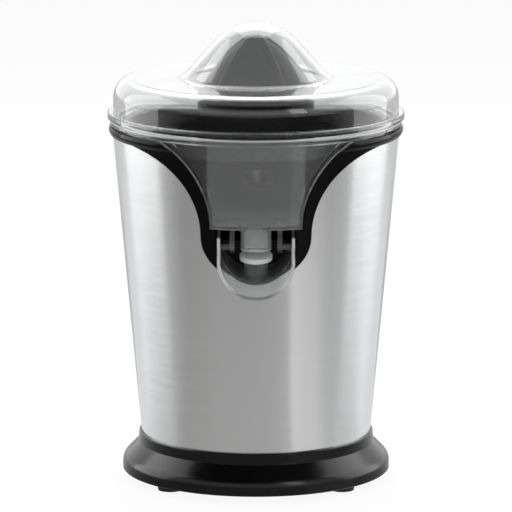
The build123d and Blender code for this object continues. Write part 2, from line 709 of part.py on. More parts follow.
def stator_coils():
    """One coil around each pole neck, behind the shoe."""
    coils = []
    for side in (1, -1):
        limits = sorted((side * COIL_NEAR, side * (COIL_NEAR + COIL_THICK)))
        outer = block(
            limits[0], limits[1], -POLE_SPAN / 2, POLE_SPAN / 2, STATOR_Z - COIL_OVERHANG, STATOR_TOP + COIL_OVERHANG
        )
        gap = POLE_NECK / 2 + FIT_GAP
        inner = block(limits[0], limits[1], -gap, gap, STATOR_Z - FIT_GAP, STATOR_TOP + FIT_GAP)
        ring = outer - inner
        coils.append(fillet(outer_corners(ring, POLE_SPAN / 2), COIL_THICK / 2))
    return coils


def outer_corners(ring, half_width):
    """The four outside edges of a coil, which run along X."""
    edges = ring.edges().filter_by(Axis.X)
    return [edge for edge in edges if abs(abs(edge.center().Y) - half_width) < FIT_GAP]


def motor_bridge():
    """Crossed bridge under the stator that carries the lower bush on four legs."""
    reach = BOLT_OFFSET * math.sqrt(2)
    bar = block(-reach, reach, -BRIDGE_HALF_WIDTH, BRIDGE_HALF_WIDTH, BRIDGE_Z, BRIDGE_Z + BRIDGE_THICK)
    bridge = Rot(0, 0, 45) * bar + Rot(0, 0, -45) * bar
    for at in BOLTS:
        bridge += rod(BRIDGE_HALF_WIDTH, BRIDGE_Z, BRIDGE_Z + BRIDGE_THICK, at)
        bridge += rod(LEG_RADIUS, BRIDGE_Z, STATOR_Z, at)
        bridge -= rod(BOLT_RADIUS + FIT_GAP, BRIDGE_Z, STATOR_Z, at)
    bridge += rod(MOTOR_BUSH + CASE_WALL, BRIDGE_Z, BRIDGE_Z + MOTOR_BUSH_LENGTH)
    return bridge - rod(MOTOR_BUSH + FIT_GAP, BRIDGE_Z, BRIDGE_Z + MOTOR_BUSH_LENGTH)


def motor_bushes():
    bore = ROTOR_SHAFT + RUN_GAP
    lower = tube(MOTOR_BUSH, bore, BRIDGE_Z, BRIDGE_Z + MOTOR_BUSH_LENGTH)
    upper = tube(MOTOR_BUSH, bore, CASE_Z + CASE_FLOOR - MOTOR_BUSH_LENGTH, CASE_Z + CASE_FLOOR)
    return [lower, upper]


def motor_bolts():
    bolts = []
    for at in BOLTS:
        head = rod(2 * BOLT_RADIUS, BRIDGE_Z - SCREW_HEAD_HEIGHT, BRIDGE_Z, at)
        bolts.append(head + rod(BOLT_RADIUS, BRIDGE_Z - SCREW_HEAD_HEIGHT / 2, CASE_Z, at))
    return bolts


def rotor_core():
    core = rod(STATOR_BORE - ROTOR_GAP, STATOR_Z, STATOR_TOP)
    return core - rod(ROTOR_SHAFT + FIT_GAP, STATOR_Z, STATOR_TOP)


def motor_shaft():
    return rod(ROTOR_SHAFT, BRIDGE_Z, STAGE_ONE_TOP)


def motor_pinion():
    pinion = gear(PINION_TEETH, IDLER_TURN, STAGE_ONE_Z, STAGE_ONE_TOP)
    return pinion - rod(ROTOR_SHAFT + FIT_GAP, STAGE_ONE_Z, STAGE_ONE_TOP)


def idler_gear():
    """Wheel of the first stage and pinion of the second on one bore."""
    half_pitch = 180 / WHEEL_TEETH
    facing = IDLER_TURN - 180
    wheel = gear(WHEEL_TEETH, facing + half_pitch, STAGE_ONE_Z, STAGE_ONE_TOP, IDLER_AT)
    neck = rod(PINION_PITCH - DEDENDUM, STAGE_ONE_TOP, STAGE_TWO_Z, IDLER_AT)
    pinion = gear(PINION_TEETH, facing, STAGE_TWO_Z - STAGE_GAP / 2, STAGE_TWO_TOP, IDLER_AT)
    return wheel + neck + pinion - rod(IDLER_PIN + RUN_GAP, STAGE_ONE_Z, STAGE_TWO_TOP, IDLER_AT)


def output_gear():
    """Wheel of the second stage with a hub through the cover and a hexagonal bore."""
    half_pitch = 180 / WHEEL_TEETH
    wheel = gear(WHEEL_TEETH, IDLER_TURN + half_pitch, STAGE_TWO_Z, STAGE_TWO_TOP)
    wheel += rod(HUB_RADIUS, STAGE_TWO_Z, HUB_TOP)
    return wheel - hex_bar(SHAFT_HEX + 2 * RUN_GAP, STAGE_TWO_Z, HUB_TOP)


def hub_clip():
    """Retaining ring on the hub, just over the cover."""
    low = COVER_TOP + SEAT_GAP
    return tube(HUB_RADIUS + CLIP_WIDTH, HUB_RADIUS + FIT_GAP, low, low + CLIP_THICK)


def return_spring():
    """Compression spring between the hub and the shaft flange."""
    rise = SPRING_LENGTH - 2 * SPRING_WIRE - 2 * SEAT_GAP
    path = Helix(rise / SPRING_TURNS, rise, SPRING_RADIUS)
    section = Plane(path @ 0, z_dir=path % 0) * Circle(SPRING_WIRE)
    return Pos(0, 0, HUB_TOP + SPRING_WIRE + SEAT_GAP) * sweep(section, path=path, is_frenet=True)


def drive_shaft():
    """Round shaft with a hexagonal foot in the hub, a flange over the spring and a hexagonal top."""
    shaft = hex_bar(SHAFT_HEX, SHAFT_Z, FLANGE_TOP)
    shaft += rod(SHAFT_FLANGE, FLANGE_Z, FLANGE_TOP)
    shaft += rod(SHAFT_RADIUS, FLANGE_Z, SOCKET_Z - STOP_GAP)
    return shaft + hex_bar(SHAFT_HEX, FLANGE_Z, SHAFT_TOP)


PLUNGER_Z = COVER_TOP + SWITCH_HEIGHT - PLUNGER_DEPTH


def microswitch():
    half_width = SWITCH_WIDTH / 2
    half_length = SWITCH_LENGTH / 2
    body = block(
        PLUNGER_CIRCLE - half_width, PLUNGER_CIRCLE + half_width, -half_length, half_length,
        COVER_TOP, COVER_TOP + SWITCH_HEIGHT,
    )
    floor = PLUNGER_Z - PRESS_TRAVEL - 2 * SEAT_GAP
    return body - rod(PLUNGER_RADIUS + RUN_GAP, floor, COVER_TOP + SWITCH_HEIGHT, (PLUNGER_CIRCLE, 0))


def switch_plunger():
    return rod(PLUNGER_RADIUS, PLUNGER_Z, FLANGE_Z - STOP_GAP, (PLUNGER_CIRCLE, 0))


def juice_collector():
    """Clear bowl with a rim, a front chute that fills the window, a chimney, a nozzle and two hinge ears."""
    bowl = cone_solid(CUP_FLOOR_Z, CUP_RIM_Z + SEAT_GAP, CUP_OUT)
    front = cone_solid(CHUTE_Z, CUP_RIM_Z + SEAT_GAP, FRONT_INSET)
    front &= notch(
        WINDOW_HALF - CUP_GAP, WINDOW_FLARE + CUP_GAP, CHUTE_Z, COLLAR_TOP + REACH, CHUTE_BACK, 0
    )
    rim_in = body_radius(CUP_RIM_Z) - CUP_IN - CUP_WALL
    rim = turned(
        (rim_in, CUP_RIM_Z),
        (CUP_RIM_RADIUS - EDGE_BREAK, CUP_RIM_Z),
        (CUP_RIM_RADIUS, CUP_RIM_Z + EDGE_BREAK),
        (CUP_RIM_RADIUS, CUP_RIM_TOP - EDGE_BREAK),
        (CUP_RIM_RADIUS - EDGE_BREAK, CUP_RIM_TOP),
        (CUP_STEP_RADIUS, CUP_RIM_TOP),
        (CUP_STEP_RADIUS, CUP_STEP_Z),
        (rim_in, CUP_STEP_Z),
    )
    cup = bowl + front + rim
    cup -= cone_solid(CUP_FLOOR_TOP, CUP_RIM_TOP, CUP_IN)
    room = cone_solid(CHUTE_Z, CUP_RIM_Z, FRONT_INSET + CUP_WALL)
    inset = CUP_GAP + CUP_WALL
    room &= notch(
        WINDOW_HALF - inset, WINDOW_FLARE + inset, CHUTE_Z + CUP_WALL, COLLAR_TOP + REACH,
        CHUTE_BACK + CUP_WALL, 0,
    )
    cup -= room
    cup += rod(CHIMNEY_BORE + CUP_WALL, CUP_FLOOR_Z, CHIMNEY_TOP)
    cup -= rod(CHIMNEY_BORE, CUP_FLOOR_Z, CHIMNEY_TOP)
    nozzle_at = (0, -NOZZLE_FROM_AXIS)
    cup += rod(NOZZLE_RADIUS, NOZZLE_Z, CHUTE_Z + CUP_WALL, nozzle_at)
    cup -= rod(NOZZLE_RADIUS - CUP_WALL, NOZZLE_Z, CHUTE_Z + CUP_WALL, nozzle_at)
    for side in (1, -1):
        limits = sorted((side * EAR_INNER, side * (EAR_INNER + EAR_THICK)))
        hinge = Pos(limits[0], -HINGE_FROM_AXIS, HINGE_Z) * Rot(0, 90, 0)
        cup += block(
            limits[0], limits[1], -HINGE_FROM_AXIS - EAR_RADIUS, -HINGE_FROM_AXIS + EAR_RADIUS,
            HINGE_Z, CHUTE_Z + CUP_WALL / 2,
        )
        low = (Align.CENTER, Align.CENTER, Align.MIN)
        cup += hinge * Cylinder(EAR_RADIUS, EAR_THICK, align=low)
        cup -= hinge * Cylinder(HINGE_PIN + FIT_GAP, EAR_THICK, align=low)
    return cup


def gutter_centre(distance):
    """Height of the gutter's centre line at a distance in front of the axis."""
    if distance <= SPOUT_FACE:
        return POCKET_Z + (SPOUT_FACE - distance) * math.tan(math.radians(SPOUT_SLOPE))
    return POCKET_Z - (distance - SPOUT_FACE) * math.tan(math.radians(LIP_SLOPE))


def gutter(half, start, length, slope, top):
    """Half-pipe run towards the front that falls with a slope, with upright end faces."""
    fall = math.radians(slope)
    outline = Plane.XZ.offset(start) * u_outline(half, gutter_centre(start), top)
    return extrude(outline, amount=length / math.cos(fall), dir=(0, -math.cos(fall), -math.sin(fall)))


def stopper(radius, top, thick):
    """Disc square to the lifted nozzle face, turned back to its rest angle about the hinge."""
    at = (-NOZZLE_FROM_AXIS + HINGE_FROM_AXIS, NOZZLE_Z - STOP_GAP - HINGE_Z)
    disc = Pos(0, at[0], at[1] - top) * Cylinder(radius, thick, align=(Align.CENTER, Align.CENTER, Align.MAX))
    return Pos(0, -HINGE_FROM_AXIS, HINGE_Z) * Rot(SNAP_ANGLE, 0, 0) * disc


def spout():
    """Clear gutter between the pocket walls with a projecting lip, hinge holes and a stem for the stopper."""
    inner = SPOUT_HALF - SPOUT_WALL
    run = SPOUT_FACE - SPOUT_BACK
    reach = SPOUT_TIP - SPOUT_FACE
    tall = gutter_centre(SPOUT_BACK) + SPOUT_HALF
    trough = gutter(SPOUT_HALF, SPOUT_BACK, run, SPOUT_SLOPE, tall)
    trough &= block(-REACH, REACH, -REACH, 0, 0, SPOUT_TOP)
    lip = gutter(SPOUT_HALF, SPOUT_FACE, reach, LIP_SLOPE, tall) - lip_cutter()
    hollow = gutter(inner, SPOUT_BACK, run, SPOUT_SLOPE, tall)
    hollow += gutter(inner, SPOUT_FACE, reach, LIP_SLOPE, tall)
    stem = stopper(STOPPER_STEM, STOPPER_THICK, SPOUT_HALF) & (trough + hollow)
    body = trough + lip - hollow + stem
    pin = Cylinder(HINGE_PIN + RUN_GAP, 4 * SPOUT_HALF)
    return body - Pos(0, -HINGE_FROM_AXIS, HINGE_Z) * Rot(0, 90, 0) * pin


def lip_cutter():
    """Everything above the lip's top edge, which runs parallel to the lip's fall."""
    edge_z = POCKET_Z - LIP_CUT
    fall = math.tan(math.radians(LIP_SLOPE))
    profile = Polyline(
        (-SPOUT_FACE, edge_z),
        (-SPOUT_FACE - REACH, edge_z - REACH * fall),
        (-SPOUT_FACE - REACH, edge_z + REACH),
        (-SPOUT_FACE, edge_z + REACH),
        close=True,
    )
    return extrude(make_face(Plane.YZ * profile), amount=REACH, both=True)


def drip_stop():
    return stopper(STOPPER_RADIUS, 0, STOPPER_THICK)


def spout_pins():
    """Hinge pins from the collector's ears into the side walls of the spout."""
    end = math.sqrt(SPOUT_HALF ** 2 - HINGE_WALL ** 2) - SEAT_GAP
    pins = []
    for side in (1, -1):
        low = min(side * EAR_INNER, side * end)
        pin = Cylinder(HINGE_PIN, end - EAR_INNER, align=(Align.CENTER, Align.CENTER, Align.MIN))
        pins.append(Pos(low, -HINGE_FROM_AXIS, HINGE_Z) * Rot(0, 90, 0) * pin)
    return pins


def sieve():
    """Basket that hangs on the step of the collector's rim, with slots in its floor around the reamer."""
    outer = CUP_IN + CUP_GAP
    inner = outer + SIEVE_WALL
    top = CUP_STEP_Z + SIEVE_WALL
    basket = turned(
        (SIEVE_HUB, SIEVE_Z),
        (body_radius(SIEVE_Z) - outer, SIEVE_Z),
        (body_radius(CUP_STEP_Z) - outer, CUP_STEP_Z),
        (body_radius(CUP_STEP_Z) - CUP_IN + SIEVE_LIP, CUP_STEP_Z),
        (body_radius(CUP_STEP_Z) - CUP_IN + SIEVE_LIP, top),
        (body_radius(top) - inner, top),
        (body_radius(SIEVE_Z + SIEVE_WALL) - inner, SIEVE_Z + SIEVE_WALL),
        (SIEVE_HUB + SIEVE_WALL, SIEVE_Z + SIEVE_WALL),
        (SIEVE_HUB + SIEVE_WALL, SIEVE_Z + SIEVE_HUB_RISE),
        (SIEVE_HUB, SIEVE_Z + SIEVE_HUB_RISE),
    )
    slot = SlotOverall(SLOT_OUTER - SLOT_INNER, SLOT_WIDTH)
    slot = Pos((SLOT_INNER + SLOT_OUTER) / 2, 0, SIEVE_Z) * extrude(slot, amount=SIEVE_WALL)
    return basket - [Rot(0, 0, 360 * i / SLOT_COUNT) * slot for i in range(SLOT_COUNT)]


def reamer_flank():
    """End points of the bulged flank: on the tip sphere and on the skirt."""
    lean = math.radians(REAMER_FLANK)
    centre = REAMER_TIP_Z - REAMER_TIP_RADIUS
    upper = (REAMER_TIP_RADIUS * math.sin(lean), centre + REAMER_TIP_RADIUS * math.cos(lean))
    return upper, (REAMER_RADIUS, CONE_Z)


def flank_arc(inset):
    """Bulged flank arc, moved inwards along the chord's normal."""
    upper, lower = reamer_flank()
    dr = lower[0] - upper[0]
    dz = lower[1] - upper[1]
    length = math.hypot(dr, dz)
    normal = (-dz / length, dr / length)
    ends = [(r - normal[0] * inset, z - normal[1] * inset) for r, z in (upper, lower)]
    rise = REAMER_BULGE - inset
    middle = (
        (upper[0] + lower[0]) / 2 + normal[0] * rise,
        (upper[1] + lower[1]) / 2 + normal[1] * rise,
    )
    return ThreePointArc(ends[0], middle, ends[1])


def reamer():
    """Ribbed cone on a round skirt, hollow inside, with a socket tube for the drive."""
    upper, lower = reamer_flank()
    lean = math.radians(REAMER_FLANK) / 2
    centre = REAMER_TIP_Z - REAMER_TIP_RADIUS
    on_tip = (REAMER_TIP_RADIUS * math.sin(lean), centre + REAMER_TIP_RADIUS * math.cos(lean))
    outline = [
        ThreePointArc((0, REAMER_TIP_Z), on_tip, upper),
        flank_arc(0),
        Polyline(lower, (REAMER_RADIUS, REAMER_Z), (0, REAMER_Z), (0, REAMER_TIP_Z)),
    ]
    body = turned_edges(outline)
    path = Plane.XZ * flank_arc(RIB_RADIUS - RIB_PROUD)
    rib = sweep(Plane(path @ 0, z_dir=path % 0) * Circle(RIB_RADIUS), path=path)
    body += [Rot(0, 0, RIB_ANGLE + 360 * i / RIB_COUNT) * rib for i in range(RIB_COUNT)]
    inner = REAMER_RADIUS - REAMER_WALL
    core = SOCKET_RADIUS + SOCKET_TUBE
    body -= turned(
        (0, REAMER_Z),
        (inner, REAMER_Z),
        (inner, CONE_Z - REAMER_WALL),
        (inner - 2 * REAMER_WALL, CONE_Z + 3 * REAMER_WALL),
        (core, SOCKET_TOP),
        (0, SOCKET_TOP),
    )
    body += rod(core, SOCKET_Z, SOCKET_TOP + REAMER_WALL)
    return body - rod(SOCKET_RADIUS + FIT_GAP, SOCKET_Z, SOCKET_TOP)


def drive_socket():
    """Insert in the reamer with a hexagonal bore for the shaft."""
    insert = rod(SOCKET_RADIUS, SOCKET_Z, SOCKET_TOP)
    return insert - hex_bar(SHAFT_HEX + 2 * RUN_GAP, SOCKET_Z, SHAFT_TOP + STOP_GAP)


def lid_profile(inset):
    """Closed half outline of the lid's dome, moved inwards by a wall."""
    radius = LID_RADIUS - inset
    shoulder = LID_SHOULDER - inset
    shoulder_r = LID_RADIUS - LID_SHOULDER
    shoulder_z = PLATEAU_Z - LID_SHOULDER
    lean = math.radians(LID_BUMP_FLANK)
    tip_z = LID_TIP_Z - LID_BUMP_TIP
    tip = LID_BUMP_TIP - inset
    fold = LID_FOLD + inset
    fold_z = PLATEAU_Z + LID_FOLD
    drop = tip_z + (LID_BUMP_TIP + LID_FOLD) * math.cos(lean) - fold_z
    fold_r = (LID_BUMP_TIP + LID_FOLD) * math.sin(lean) + drop / math.tan(lean)
    diagonal = math.sqrt(0.5)

    def on_tip(angle):
        return (tip * math.sin(angle), tip_z + tip * math.cos(angle))

    def on_fold(angle):
        return (fold_r - fold * math.sin(angle), fold_z - fold * math.cos(angle))

    return [
        Polyline((0, LID_Z), (radius, LID_Z), (radius, shoulder_z)),
        ThreePointArc(
            (radius, shoulder_z),
            (shoulder_r + shoulder * diagonal, shoulder_z + shoulder * diagonal),
            (shoulder_r, shoulder_z + shoulder),
        ),
        Line((shoulder_r, shoulder_z + shoulder), on_fold(0)),
        ThreePointArc(on_fold(0), on_fold(lean / 2), on_fold(lean)),
        Line(on_fold(lean), on_tip(lean)),
        ThreePointArc(on_tip(lean), on_tip(lean / 2), on_tip(0)),
        Line(on_tip(0), (0, LID_Z)),
    ]


def lid():
    """Clear dome with a domed top for the reamer, a rim and a spigot into the collector."""
    spigot_out = CUP_STEP_RADIUS - CUP_GAP
    spigot_in = spigot_out - SPIGOT_WALL
    dome = turned_edges(lid_profile(0))
    dome -= turned_edges(lid_profile(LID_WALL))
    dome += turned(
        (LID_RADIUS - LID_WALL, LID_Z),
        (LID_RIM_RADIUS - EDGE_BREAK, LID_Z),
        (LID_RIM_RADIUS, LID_Z + EDGE_BREAK),
        (LID_RIM_RADIUS, LID_RIM_TOP - EDGE_BREAK),
        (LID_RIM_RADIUS - EDGE_BREAK, LID_RIM_TOP),
        (LID_RADIUS - LID_WALL, LID_RIM_TOP),
    )
    return dome + tube(spigot_out, spigot_in, LID_Z - SPIGOT_DEPTH, LID_Z + LID_WALL)


NODES = [
    rubber_feet,
    bottom_plate,
    base_ring,
    cord_gland,
    housing_screws,
    steel_shell,
    collar_frame,
    well_liner,
    deck,
    shaft_bush,
    shaft_seal,
    gearbox_case,
    gearbox_cover,
    gearbox_screws,
    idler_pin,
    stator_core,
    stator_coils,
    motor_bridge,
    motor_bushes,
    motor_bolts,
    rotor_core,
    motor_shaft,
    motor_pinion,
    idler_gear,
    output_gear,
    hub_clip,
    return_spring,
    drive_shaft,
    microswitch,
    switch_plunger,
    juice_collector,
    sieve,
    spout,
    drip_stop,
    spout_pins,
    reamer,
    drive_socket,
    lid,
]

os.makedirs("parts", exist_ok=True)
for make in NODES:
    shape = make()
    if isinstance(shape, list):
        shape = Compound(children=shape)
    export_step(shape, "parts/" + make.__name__ + ".step")
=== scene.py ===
import json
import math

import bmesh
import bpy
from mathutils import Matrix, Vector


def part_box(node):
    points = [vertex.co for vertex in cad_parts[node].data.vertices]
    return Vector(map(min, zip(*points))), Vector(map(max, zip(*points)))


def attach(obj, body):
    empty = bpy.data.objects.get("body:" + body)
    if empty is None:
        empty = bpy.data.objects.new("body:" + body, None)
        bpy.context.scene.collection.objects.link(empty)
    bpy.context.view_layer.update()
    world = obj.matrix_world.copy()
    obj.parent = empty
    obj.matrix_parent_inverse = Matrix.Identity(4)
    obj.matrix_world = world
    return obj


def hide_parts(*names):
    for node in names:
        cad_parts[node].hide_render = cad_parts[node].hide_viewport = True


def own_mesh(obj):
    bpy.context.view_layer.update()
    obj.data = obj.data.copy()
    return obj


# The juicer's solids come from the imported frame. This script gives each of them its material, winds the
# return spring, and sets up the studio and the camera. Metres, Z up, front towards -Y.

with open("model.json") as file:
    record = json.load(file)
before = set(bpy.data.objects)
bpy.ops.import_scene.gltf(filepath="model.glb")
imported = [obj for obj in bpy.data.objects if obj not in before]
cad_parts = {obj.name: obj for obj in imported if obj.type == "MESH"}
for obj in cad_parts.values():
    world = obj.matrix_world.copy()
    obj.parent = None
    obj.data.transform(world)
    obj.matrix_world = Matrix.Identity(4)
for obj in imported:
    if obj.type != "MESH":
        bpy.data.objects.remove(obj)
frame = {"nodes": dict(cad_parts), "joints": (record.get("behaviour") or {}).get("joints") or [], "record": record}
nodes = frame["nodes"]
slots = {part["node"]: part["material_slot"] for part in frame["record"]["subparts"]}
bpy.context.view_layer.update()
scene = bpy.context.scene
scene.view_settings.view_transform = "Standard"


def joint(name):
    """The record's row of one joint."""
    return next(row for row in frame["joints"] if row["name"] == name)


# Camera, fitted to the ellipses of the rim and the base in the photograph. Pitch in degrees, lens and
# sensor in millimetres.
CAMERA_AT = (0.0, -2.744, 0.659)
CAMERA_PITCH = 10.835
CAMERA_LENS = 326.5
SENSOR = 36.0


def make_camera():
    data = bpy.data.cameras.new("photo_camera")
    data.sensor_fit = "HORIZONTAL"
    data.sensor_width = SENSOR
    data.lens = CAMERA_LENS
    camera = bpy.data.objects.new("photo_camera", data)
    camera.location = CAMERA_AT
    camera.rotation_euler = (math.radians(90 - CAMERA_PITCH), 0, 0)
    scene.collection.objects.link(camera)
    scene.camera = camera


# Node helpers

# Sockets of a Mix node that mixes colours
MIX_FIRST = 6
MIX_SECOND = 7
MIX_RESULT = 2

BEVEL_SAMPLES = 4


class Nodes:
    """Adds nodes to one tree. A value may be a number, a colour or another node's output."""

    def __init__(self, tree):
        self.tree = tree

    def put(self, socket, value):
        if isinstance(value, bpy.types.NodeSocket):
            self.tree.links.new(value, socket)
        else:
            socket.default_value = value

    def add(self, kind, inputs=None, **settings):
        node = self.tree.nodes.new(kind)
        for name, value in settings.items():
            setattr(node, name, value)
        for name, value in (inputs or {}).items():
            self.put(node.inputs[name], value)
        return node

    def math(self, operation, a, b=0.0):
        return self.add("ShaderNodeMath", {0: a, 1: b}, operation=operation).outputs[0]

    def chain(self, operation, values):
        result = values[0]
        for value in values[1:]:
            result = self.math(operation, result, value)
        return result

    def times(self, *values):
        return self.chain("MULTIPLY", values)

    def most(self, *values):
        return self.chain("MAXIMUM", values)

    def minus(self, a, b):
        return self.math("SUBTRACT", a, b)

    def over(self, a, b):
        """One where a is greater than b, else zero."""
        return self.math("GREATER_THAN", a, b)

    def under(self, a, b):
        """One where a is less than b, else zero."""
        return self.math("LESS_THAN", a, b)

    def near(self, value, middle, half):
        """One where a value is near another, else zero."""
        return self.under(self.math("ABSOLUTE", self.minus(value, middle)), half)

    def span(self, value, low, high, to_low, to_high):
        """Moves a value from one range into another."""
        inputs = {"Value": value, "From Min": low, "From Max": high, "To Min": to_low, "To Max": to_high}
        return self.add("ShaderNodeMapRange", inputs).outputs["Result"]

    def mix(self, factor, a, b):
        node = self.add("ShaderNodeMix", data_type="RGBA")
        self.put(node.inputs["Factor"], factor)
        self.put(node.inputs[MIX_FIRST], a)
        self.put(node.inputs[MIX_SECOND], b)
        return node.outputs[MIX_RESULT]

    def ramp(self, value, stops):
        """Colour ramp from (place, colour) stops, which are added anywhere and then put in their places."""
        node = self.add("ShaderNodeValToRGB", {"Fac": value})
        bar = node.color_ramp
        while len(bar.elements) < len(stops):
            bar.elements.new(position=0.5)
        for element, (place, colour) in zip(bar.elements, stops):
            element.position = place
            element.color = colour
        return node.outputs["Color"]

    def noise(self, vector, scale=1.0, detail=2.0):
        inputs = {"Vector": vector, "Scale": scale, "Detail": detail}
        return self.add("ShaderNodeTexNoise", inputs).outputs["Fac"]

    def bump(self, height, strength, distance, rounding=0.0):
        """Bumps from a height, over edges that are rounded off by a small radius."""
        inputs = {"Height": height, "Strength": strength, "Distance": distance}
        if rounding:
            rounded = self.add("ShaderNodeBevel", {"Radius": rounding}, samples=BEVEL_SAMPLES)
            inputs["Normal"] = rounded.outputs["Normal"]
        return self.add("ShaderNodeBump", inputs).outputs["Normal"]

    def place(self):
        """Position in the object's own frame, in metres."""
        return self.add("ShaderNodeTexCoord").outputs["Object"]

    def split(self, vector):
        """X, Y and Z of a vector."""
        parts = self.add("ShaderNodeSeparateXYZ", {"Vector": vector}).outputs
        return parts["X"], parts["Y"], parts["Z"]

    def vector(self, operation, a, b):
        return self.add("ShaderNodeVectorMath", {0: a, 1: b}, operation=operation).outputs["Vector"]

    def length(self, vector):
        return self.add("ShaderNodeVectorMath", {0: vector}, operation="LENGTH").outputs["Value"]

    def flat_distance(self, place, centre=(0.0, 0.0, 0.0)):
        """Distance from an upright axis."""
        return self.length(self.vector("MULTIPLY", self.vector("SUBTRACT", place, centre), (1, 1, 0)))

    def turn(self, vector):
        """Angle about Z from the front, with the seam at the back."""
        x, y, _ = self.split(vector)
        return self.math("ARCTAN2", x, self.times(y, -1.0))

    def around(self, vector, turn_scale, height_scale):
        """Cylinder coordinates about Z, scaled for a noise."""
        turn = self.times(self.turn(vector), turn_scale)
        height = self.times(self.split(vector)[2], height_scale)
        return self.add("ShaderNodeCombineXYZ", {"X": turn, "Z": height}).outputs["Vector"]

    def glow(self, colour):
        return self.add("ShaderNodeEmission", {"Color": colour, "Strength": 1.0}).outputs[0]

    def blend(self, factor, a, b):
        """One shader where the factor is zero, another where it is one."""
        return self.add("ShaderNodeMixShader", {0: factor, 1: a, 2: b}).outputs[0]


def grey(level, cool=0.0):
    """Neutral colour, with a little more blue if cool is above zero."""
    return (level, level * (1 + cool / 2), level * (1 + cool), 1)


def new_material(name):
    material = bpy.data.materials.new(name)
    material.use_nodes = True
    tree = material.node_tree
    return material, Nodes(tree), tree.nodes["Principled BSDF"]


# Materials

# Radius of rounded edges, depth and strength of a moulded grain, and the range where most of a noise lies
MOULD_EDGE = 0.0005
CLEAR_EDGE = 0.0006
GRAIN_DEPTH = 0.0002
GRAIN_STRENGTH = 0.05
NOISE_RANGE = (0.3, 0.7)

# Brushed steel. The lines' scales are round the body and per metre of height.
FINE_LINES = (3.0, 5200.0)
BROAD_LINES = (1.2, 420.0)
FINE_SHARE = 0.6
LINE_RANGE = (0.25, 0.75)
LINE_STRENGTH = 0.06
LINE_DEPTH = 0.0001
STEEL_TONES = (grey(0.80, 0.008), grey(0.90, 0.010))
STEEL_ROUGHNESS = (0.19, 0.27)
STEEL_SMEAR = 0.9
SMEAR_QUARTER_TURN = 0.25


def brushed_body():
    """Steel sheet brushed round the body: fine lines, and reflections that smear upright."""
    material, n, shader = new_material("brushed_body")
    place = n.place()
    fine = n.noise(n.around(place, *FINE_LINES), detail=3.0)
    broad = n.noise(n.around(place, *BROAD_LINES))
    lines = n.math("ADD", n.times(fine, FINE_SHARE), n.times(broad, 1 - FINE_SHARE))
    n.put(shader.inputs["Base Color"], n.mix(lines, *STEEL_TONES))
    n.put(shader.inputs["Roughness"], n.span(lines, *LINE_RANGE, *STEEL_ROUGHNESS))
    n.put(shader.inputs["Normal"], n.bump(lines, LINE_STRENGTH, LINE_DEPTH))
    shader.inputs["Metallic"].default_value = 1.0
    shader.inputs["Anisotropic"].default_value = STEEL_SMEAR
    shader.inputs["Anisotropic Rotation"].default_value = SMEAR_QUARTER_TURN
    tangent = n.add("ShaderNodeTangent", direction_type="RADIAL", axis="Z")
    n.put(shader.inputs["Tangent"], tangent.outputs["Tangent"])
    return material


CLOUD_SCALE = 38.0


def plastic(name, tones, roughness, grain, strength, shine=0.5):
    """Moulded plastic or rubber: two tones, uneven gloss and a fine surface grain."""
    material, n, shader = new_material(name)
    place = n.place()
    cloud = n.noise(place, CLOUD_SCALE, detail=4.0)
    speck = n.noise(place, grain)
    n.put(shader.inputs["Base Color"], n.mix(n.span(cloud, *NOISE_RANGE, 0.0, 1.0), *tones))
    n.put(shader.inputs["Roughness"], n.span(cloud, *NOISE_RANGE, *roughness))
    n.put(shader.inputs["Normal"], n.bump(speck, strength, GRAIN_DEPTH, MOULD_EDGE))
    shader.inputs["Specular IOR Level"].default_value = shine
    return material


# Painted highlights on the edges of the clear pieces: their width, and the spout's hinge, from which those
# in front are placed
EDGE_WIDTH = 0.0007
HINGE = joint("spout_snap")["pos_m"]

# The collector's front, as in its solid: the window's half width at the foot, the radius of its flared
# sides, its height, the front panel's half width, and the nozzle's place and end
FRONT_BEHIND_HINGE = 0.004
FRONT_Y = HINGE[1] + FRONT_BEHIND_HINGE
WINDOW_HALF = 0.0271
WINDOW_FLARE = 0.0579
FOOT_OVER_HINGE = 0.0142
WINDOW_FOOT = HINGE[2] + FOOT_OVER_HINGE
WINDOW_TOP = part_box("collar_frame")[1].z - EDGE_WIDTH
PANEL_HALF = 0.0285
NOZZLE_AHEAD = 0.016
NOZZLE_OVER_HINGE = 0.0015
NOZZLE_AT = (0.0, HINGE[1] - NOZZLE_AHEAD, 0.0)
NOZZLE_RADIUS = 0.0095
NOZZLE_END = HINGE[2] + NOZZLE_OVER_HINGE

# The collector's rim: depth and width of the painted highlight on its top edge
RIM_DEPTH = 0.0010
RIM_WIDTH = 0.0016
RIM_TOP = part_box("juice_collector")[1].z
RIM_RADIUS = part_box("juice_collector")[1].x

# Shares of white in the collector: haze on the front panel and the nozzle, and painted highlights on the
# window's outline, the rim and the nozzle's end. The painted highlight on the outline's sides fades downwards.
PANEL_MILK = 0.06
NOZZLE_MILK = 0.15
EDGE_PAINTED_HIGHLIGHT = 0.35
RIM_PAINTED_HIGHLIGHT = 0.55
FOOT_SHARE = 0.3
SIDES_FADE = (0.175, 0.200)
SIDES_LOW_SHARE = 0.25


def panel_frost(n, aside, above_foot):
    """White of the chute's front panel and of the nozzle below it."""
    inside = n.span(aside, PANEL_HALF - EDGE_WIDTH, PANEL_HALF + EDGE_WIDTH, 1.0, 0.0)
    return n.times(inside, n.span(above_foot, 0.0, 1.0, NOZZLE_MILK, PANEL_MILK))


